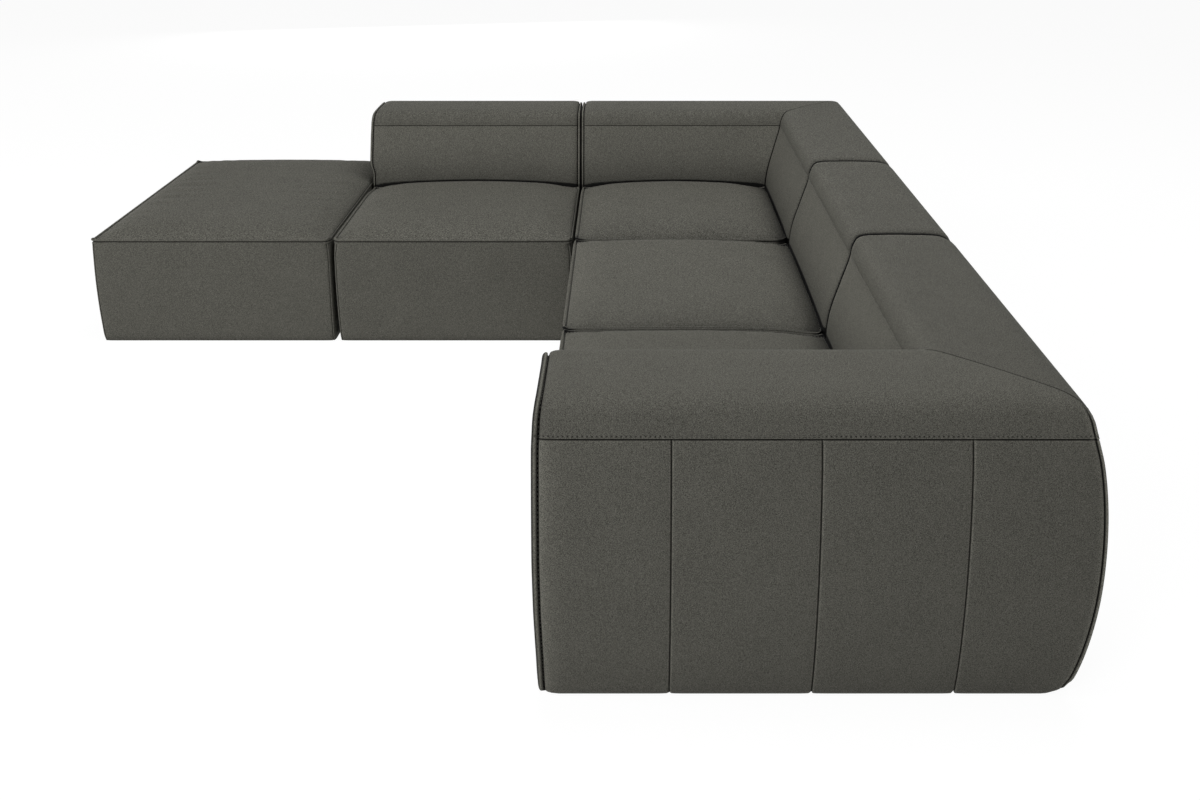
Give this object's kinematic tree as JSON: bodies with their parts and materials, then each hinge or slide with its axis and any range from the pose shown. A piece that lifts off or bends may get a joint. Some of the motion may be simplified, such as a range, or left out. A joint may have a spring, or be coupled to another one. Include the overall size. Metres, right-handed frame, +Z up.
{
  "type": "sectional sofa",
  "caption": "Low L-shaped sectional sofa in grey leather: upholstered modules with rounded full-height back walls, a corner, an end seat and a backless ottoman, clipped together.",
  "frame": {"origin": "on the floor, under the centre of the sofa's bounding box", "axes": "+Z up; +Y from the near end seat towards the far row of backs; +X from the ottoman towards the right-hand row of backs"},
  "size_m": [2.958, 3.268, 0.702],
  "materials": {
    "leather": "matt warm-grey nubuck-like leather with fine grain and tone-on-tone stitching",
    "foam": "open-cell cream upholstery foam",
    "timber": "planed and glued softwood",
    "lining": "black non-woven dust cover",
    "glide": "dark grey pressed felt",
    "clip_steel": "zinc-plated steel"
  },
  "bodies": {
    "corner_module": {"corner_back_cover": "leather", "corner_back_foam": "foam", "corner_back_frame": "timber", "corner_clip_jaw_left": "clip_steel", "corner_clip_tongue_front": "clip_steel", "corner_dust_cover": "lining", "corner_foot_back_left": "glide", "corner_foot_back_right": "glide", "corner_foot_front_left": "glide", "corner_foot_front_right": "glide", "corner_seat_cover": "leather", "corner_seat_foam": "foam", "corner_seat_frame": "timber"},
    "left_module": {"left_back_cover": "leather", "left_back_foam": "foam", "left_back_frame": "timber", "left_clip_jaw_left": "clip_steel", "left_clip_tongue_right": "clip_steel", "left_dust_cover": "lining", "left_foot_back_left": "glide", "left_foot_back_right": "glide", "left_foot_front_left": "glide", "left_foot_front_right": "glide", "left_seat_cover": "leather", "left_seat_foam": "foam", "left_seat_frame": "timber"},
    "ottoman_module": {"ottoman_clip_tongue_right": "clip_steel", "ottoman_dust_cover": "lining", "ottoman_foot_back_left": "glide", "ottoman_foot_back_right": "glide", "ottoman_foot_front_left": "glide", "ottoman_foot_front_right": "glide", "ottoman_seat_cover": "leather", "ottoman_seat_foam": "foam", "ottoman_seat_frame": "timber"},
    "right_module": {"right_back_cover": "leather", "right_back_foam": "foam", "right_back_frame": "timber", "right_clip_jaw_left": "clip_steel", "right_clip_tongue_right": "clip_steel", "right_dust_cover": "lining", "right_foot_back_left": "glide", "right_foot_back_right": "glide", "right_foot_front_left": "glide", "right_foot_front_right": "glide", "right_seat_cover": "leather", "right_seat_foam": "foam", "right_seat_frame": "timber"},
    "end_module": {"end_back_cover": "leather", "end_back_foam": "foam", "end_back_frame": "timber", "end_clip_jaw_left": "clip_steel", "end_dust_cover": "lining", "end_foot_back_left": "glide", "end_foot_back_right": "glide", "end_foot_front_left": "glide", "end_foot_front_right": "glide", "end_seat_cover": "leather", "end_seat_foam": "foam", "end_seat_frame": "timber"}
  },
  "joints": [
    {"name": "left_unclip", "type": "slide", "parent": "corner_module", "child": "left_module", "axis": [-1, 0, 0], "range_m": [0, 0.3]},
    {"name": "ottoman_unclip", "type": "slide", "parent": "left_module", "child": "ottoman_module", "axis": [-1, 0, 0], "range_m": [0, 0.3]},
    {"name": "right_unclip", "type": "slide", "parent": "corner_module", "child": "right_module", "axis": [0, -1, 0], "range_m": [0, 0.3]},
    {"name": "end_unclip", "type": "slide", "parent": "right_module", "child": "end_module", "axis": [0, -1, 0], "range_m": [0, 0.3]}
  ]
}
